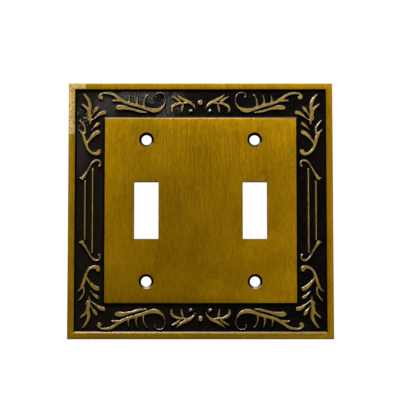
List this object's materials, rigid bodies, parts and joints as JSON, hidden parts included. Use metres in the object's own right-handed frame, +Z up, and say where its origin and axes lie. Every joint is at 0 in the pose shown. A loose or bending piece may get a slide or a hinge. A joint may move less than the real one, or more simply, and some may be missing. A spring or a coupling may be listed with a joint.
{
  "type": "wall plate cover",
  "caption": "Rectangular relieved-brass wall plate cover for toggle switches: raised centre panel, recessed black border with cast scrollwork, flat outer rim.",
  "frame": {"origin": "centre of the back plane, where the outer frame's back edge meets the wall", "axes": "+Z up as the plate hangs, -Y out of the wall towards the viewer, +X to the viewer's right"},
  "size_m": [0.1124, 0.006, 0.1088],
  "materials": {
    "satin_brass": "satin, fine vertical brush lines, uneven tone",
    "black_ground": "blackened, slightly glossy, fine grain",
    "relieved_brass": "blackened flanks, rubbed bright on the crests"
  },
  "bodies": {
    "root": {"outer_frame": "satin_brass", "ground_plate": "black_ground", "centre_panel": "satin_brass", "corner_spray_top_left": "relieved_brass", "corner_spray_top_right": "relieved_brass", "corner_spray_bottom_left": "relieved_brass", "corner_spray_bottom_right": "relieved_brass", "side_spray_top_left": "relieved_brass", "side_spray_top_right": "relieved_brass", "side_spray_bottom_left": "relieved_brass", "side_spray_bottom_right": "relieved_brass", "small_leaf_top_left": "relieved_brass", "small_leaf_top_right": "relieved_brass", "small_leaf_bottom_left": "relieved_brass", "small_leaf_bottom_right": "relieved_brass", "s_hook_top_left": "relieved_brass", "s_hook_top_right": "relieved_brass", "s_hook_bottom_left": "relieved_brass", "s_hook_bottom_right": "relieved_brass", "long_scroll_top_left": "relieved_brass", "long_scroll_top_right": "relieved_brass", "long_scroll_bottom_left": "relieved_brass", "long_scroll_bottom_right": "relieved_brass", "under_leaf_top_left": "relieved_brass", "under_leaf_top_right": "relieved_brass", "under_leaf_bottom_left": "relieved_brass", "under_leaf_bottom_right": "relieved_brass", "leaf_group_top_left": "relieved_brass", "leaf_group_top_right": "relieved_brass", "leaf_group_bottom_left": "relieved_brass", "leaf_group_bottom_right": "relieved_brass", "bud_top_left": "relieved_brass", "bud_top_right": "relieved_brass", "bud_bottom_left": "relieved_brass", "bud_bottom_right": "relieved_brass", "inner_rod_left": "relieved_brass", "inner_rod_right": "relieved_brass", "outer_rod_left": "relieved_brass", "outer_rod_right": "relieved_brass", "centre_bead_top": "relieved_brass", "centre_bead_bottom": "relieved_brass"}
  },
  "joints": []
}
